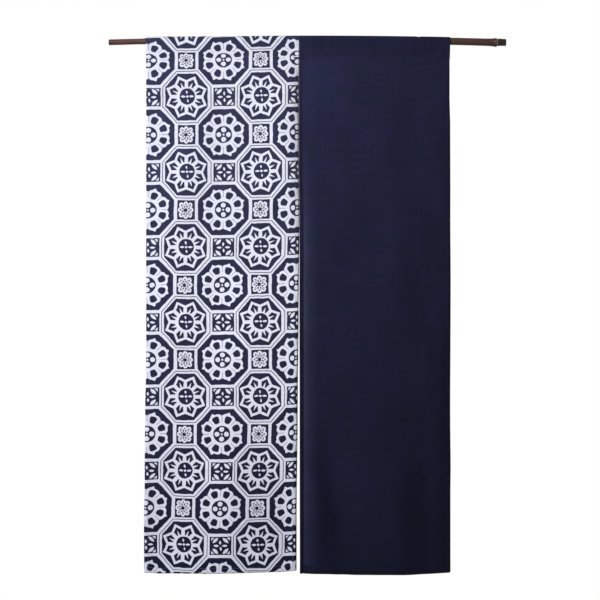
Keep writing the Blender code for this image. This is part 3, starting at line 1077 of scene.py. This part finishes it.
def sewn_lines(panel, face_points, normal, places, depth):
    """Sewn lines of a panel: beside both side hems, above the bottom hem, along the pocket."""
    rows, columns = depth.shape
    rise = depth[0] - depth
    top_row = int(np.argmax(face_points[:, columns // 2, 2]))
    above_sewing = face_points[:top_row, columns // 2, 2] - sewing_height(face_points[0, columns // 2, 0])
    pocket_row = int(np.argmin(abs(above_sewing)))
    left = int(np.argmin(abs(places[0] - SIDE_HEM + SEWN_FROM_FOLD)))
    right = int(np.argmin(abs(places[0] - panel.width + SIDE_HEM - SEWN_FROM_FOLD)))
    low = int(np.argmin(abs(rise[:, columns // 2] - BOTTOM_HEM + SEWN_FROM_FOLD)))
    up = np.arange(0, rows)
    over = np.arange(0, columns)
    routes = [
        (up[:top_row], np.full(top_row, left)),
        (up[:top_row], np.full(top_row, right)),
        (np.full(columns, low), over),
        (np.full(columns, pocket_row), over),
    ]
    stitches = []
    for route in routes:
        stitches += stitch_points(face_points, normal, places, depth, route)
    return stitches


def bamboo():
    """Dark smoked bamboo: lengthwise fibres, a satin skin and a paler, worn ring. Its lower side is
    painted darker and its top lighter: painted shade.
    """
    material = Material("smoked_bamboo")
    place = material.add("ShaderNodeTexCoord")
    split = material.add("ShaderNodeSeparateXYZ")
    material.link(place.outputs["Object"], split.inputs[0])
    x, y, z = (Number(material.tree, split.outputs[axis]) for axis in range(3))
    grain = material.noise(material.joined(x * 9.0, y * 700.0, z * 700.0), 1.0, 4.0, 0.6)
    fine = material.noise(material.joined(x * 30.0, y * 2600.0, z * 2600.0), 1.0, 2.0, 0.6)
    cloud = material.noise(material.joined(x * 14.0, y * 60.0, z * 60.0), 1.0, 3.0, 0.5)
    colour = material.blend(material.ramp(grain, 0.35, 0.68), BAMBOO_DARK, BAMBOO_PALE)
    colour = material.scaled(colour, material.ramp(x, -0.55, 0.58, 1.80, 0.94))
    # Painted shade: the rod is painted darker on its lower side and lighter on its top.
    height = z + x * x * ROD_BOW
    colour = material.scaled(colour, material.ramp(height, -0.0065, 0.0030, 0.55, 1.10))
    ring = (abs(x - FIRST_NODE - 0.0022) - 0.0013).inked(0.0006)
    scar = (abs(x - FIRST_NODE - 0.0068) - 0.0016).inked(0.0010)
    stub = material.ramp(x, FIRST_NODE + 0.004, FIRST_NODE + 0.008)
    colour = material.scaled(colour, material.ramp(cloud, 0.3, 0.7, 0.86, 1.14))
    colour = material.blend(ring * 0.8, colour, BAMBOO_RING)
    colour = material.blend(scar * 0.6, colour, BAMBOO_SCAR)
    colour = material.blend(stub * 0.75, colour, BAMBOO_SCAR)
    material.link(colour, material.shader.inputs["Base Color"])
    rough = material.ramp(fine, 0.3, 0.7, 0.34, 0.52)
    material.link(rough.socket, material.shader.inputs["Roughness"])
    material.bump(grain * 0.6 + fine * 0.4, 0.00022)
    material.set(Specular_IOR_Level=0.34)
    return material.made


BAMBOO_DARK = (0.029, 0.0120, 0.0092)
BAMBOO_PALE = (0.091, 0.0385, 0.0290)
BAMBOO_RING = (0.250, 0.200, 0.180)
BAMBOO_SCAR = (0.014, 0.008, 0.007)
ROD_SIDES = 48
ROD_STEP = 0.004
LEFT_SWELL = 0.0004
LEFT_SWELL_TO = -0.440
STUB_MORE = 0.0001
STUB_LIFT = 0.0009
RIGHT_MORE = 0.0002


def ring_profile(offset):
    """How far the bamboo stands out of its plain taper near a ring: ridge, groove and ridge."""
    swell = 0.0007 * np.exp(-(((offset + 0.0080) / 0.0095) ** 2))
    ridge = 0.0016 * np.exp(-(((offset + 0.0020) / 0.0034) ** 2))
    groove = 0.0005 * np.exp(-(((offset - 0.0070) / 0.0018) ** 2))
    return swell + ridge - groove


def rod_object(node):
    """The bamboo rod with its rings, uneven skin and hollow cut ends."""
    nodes = node_places()
    marks = list(np.arange(ROD_LEFT, ROD_RIGHT, ROD_STEP)) + [ROD_RIGHT]
    for place in nodes:
        marks += list(place + np.arange(-0.020, 0.0121, 0.0008))
    for inwards in (0.0003, 0.0007, 0.0012):
        marks += [ROD_LEFT + inwards, ROD_RIGHT - inwards]
    x = np.array(sorted(mark for mark in marks if ROD_LEFT <= mark <= ROD_RIGHT))
    angle = np.linspace(0.0, 2.0 * math.pi, ROD_SIDES, endpoint=False)
    radius = rod_radius(x)
    for place in nodes:
        standing = ring_profile(x - place)
        radius = radius + (standing if place == nodes[0] else np.minimum(standing, NODE_RISE))
    from_end = np.minimum(x - ROD_LEFT, ROD_RIGHT - x)
    radius = radius - 0.0003 * (1.0 - smooth(from_end / 0.0007))
    skin = 1.0 + 0.006 * np.sin(3.0 * angle[None, :] + 2.0 + 9.0 * x[:, None])
    radius = radius + RIGHT_MORE * smooth((x - 0.400) / 0.040)
    reach = (radius + LEFT_SWELL * smooth((LEFT_SWELL_TO - x) / 0.060))[:, None] * skin
    stub = smooth((x - FIRST_NODE) / 0.010)
    ring_y = (reach + STUB_MORE * stub[:, None]) * np.cos(angle)
    ring_z = (reach + STUB_MORE * stub[:, None]) * np.sin(angle)
    ring_z = ring_z + (rod_axis(x) + STUB_LIFT * stub)[:, None]
    outer = np.stack([np.broadcast_to(x[:, None], ring_y.shape), ring_y, ring_z], axis=-1)
    rings = [ring for ring in outer]
    rings = end_rings(rings[0], -1.0)[::-1] + rings + end_rings(rings[-1], 1.0)
    corners = np.concatenate(rings)
    quads = []
    for step in range(len(rings) - 1):
        for side in range(ROD_SIDES):
            a = step * ROD_SIDES + side
            b = step * ROD_SIDES + (side + 1) % ROD_SIDES
            quads.append((a, b, b + ROD_SIDES, a + ROD_SIDES))
    last = (len(rings) - 1) * ROD_SIDES
    quads.append(tuple(reversed(range(ROD_SIDES))))
    quads.append(tuple(last + side for side in range(ROD_SIDES)))
    data = bpy.data.meshes.new("bamboo_rod")
    data.from_pydata(corners.tolist(), [], quads)
    data.materials.append(bamboo())
    data.shade_smooth()
    data.set_sharp_from_angle(angle=math.radians(50.0))
    piece = bpy.data.objects.new("bamboo_rod", data)
    bpy.context.scene.collection.objects.link(piece)
    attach(piece, "root")
    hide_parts(node)
    return piece


def end_rings(rim, outwards):
    """The cut end: a flat wall and a hollow that goes in 14 mm."""
    middle = rim.mean(axis=0)
    wall = middle + (rim - middle) * 0.52
    floor = wall.copy()
    floor[:, 0] -= outwards * 0.014
    edge = middle + (rim - middle) * 0.55
    return [edge, wall, floor]


# The camera sees the photo's frame: the middle of the picture and its width at the cloth
FRAME_WIDTH = 1.680
FRAME_MIDDLE_X = 0.0003
FRAME_MIDDLE_Z = -0.7294
LENS = 85.0
SENSOR = 36.0
FLOOR_BELOW = 2.05
FLOOR_SIZE = 4.4
ROOM_LIGHT = 0.33


def add_camera():
    data = bpy.data.cameras.new("camera")
    data.lens = LENS
    data.sensor_width = SENSOR
    camera = bpy.data.objects.new("camera", data)
    distance = FRAME_WIDTH * LENS / SENSOR
    camera.location = (FRAME_MIDDLE_X, -distance, FRAME_MIDDLE_Z)
    camera.rotation_euler = (math.radians(90.0), 0.0, 0.0)
    bpy.context.scene.collection.objects.link(camera)
    bpy.context.scene.camera = camera


def add_area(name, place, target, size, power, colour):
    data = bpy.data.lights.new(name, "AREA")
    data.shape = "RECTANGLE"
    data.size, data.size_y = size
    data.energy = power
    data.color = colour
    light = bpy.data.objects.new(name, data)
    light.location = place
    aim = [there - here for there, here in zip(target, place)]
    light.rotation_euler = direction_angles(aim)
    bpy.context.scene.collection.objects.link(light)


def direction_angles(aim):
    """Angles that turn a lamp's -Z to a direction."""
    flat = math.hypot(aim[0], aim[1])
    return (math.atan2(flat, -aim[2]), 0.0, math.atan2(-aim[0], aim[1]))


def add_stage():
    world = bpy.data.worlds.new("studio")
    world.use_nodes = True
    background = world.node_tree.nodes["Background"]
    background.inputs["Color"].default_value = (1.0, 1.0, 1.0, 1.0)
    seen = world.node_tree.nodes.new("ShaderNodeLightPath")
    strength = world.node_tree.nodes.new("ShaderNodeMapRange")
    strength.inputs["To Min"].default_value = ROOM_LIGHT
    strength.inputs["To Max"].default_value = 1.0
    world.node_tree.links.new(seen.outputs["Is Camera Ray"], strength.inputs["Value"])
    world.node_tree.links.new(strength.outputs["Result"], background.inputs["Strength"])
    bpy.context.scene.world = world
    bpy.ops.mesh.primitive_plane_add(size=FLOOR_SIZE, location=(0.0, 0.0, -FLOOR_BELOW))
    floor = bpy.context.object
    floor.name = "studio_floor"
    pale = Material("pale_floor")
    pale.set(Base_Color=(0.93, 0.93, 0.93, 1.0), Roughness=0.9, Specular_IOR_Level=0.0)
    floor.data.materials.append(pale.made)
    bpy.context.scene.view_settings.view_transform = "Standard"
    add_area("key", (-5.2, -7.0, 2.0), (0.0, 0.0, -0.60), (1.8, 1.8), 715.0, (1.0, 1.0, 1.0))


def main():
    printed_face = printed_cotton("printed_cotton_face", 1.0, NAVY_PRINT_SHADED_LOW, NAVY_PRINT_SHEEN_TOP)
    printed_back = printed_cotton("printed_cotton_reverse", 0.82, REVERSE_SHADED_LOW, REVERSE_SHEEN_TOP)
    navy = navy_cotton("navy_cotton_cloth")
    printed = cloth_object(
        PRINTED, printed_face, printed_back, "printed_panel", True
    )
    plain = cloth_object(PLAIN, navy, navy, "plain_panel", False)
    white_thread = thread_cotton("white_thread", WHITE_THREAD)
    navy_thread = thread_cotton("navy_thread", NAVY_THREAD)
    printed_sewing = stitch_mesh(
        "printed_stitches", sewn_lines(PRINTED, *printed[1:]), white_thread
    )
    plain_sewing = stitch_mesh(
        "plain_stitches", sewn_lines(PLAIN, *plain[1:]), navy_thread
    )
    for made, panel, sewing in ((printed, PRINTED, printed_sewing), (plain, PLAIN, plain_sewing)):
        length = float(np.mean(made[4][0] - made[4][-1]))
    rod_object("rod")
    add_stage()
    add_camera()


main()
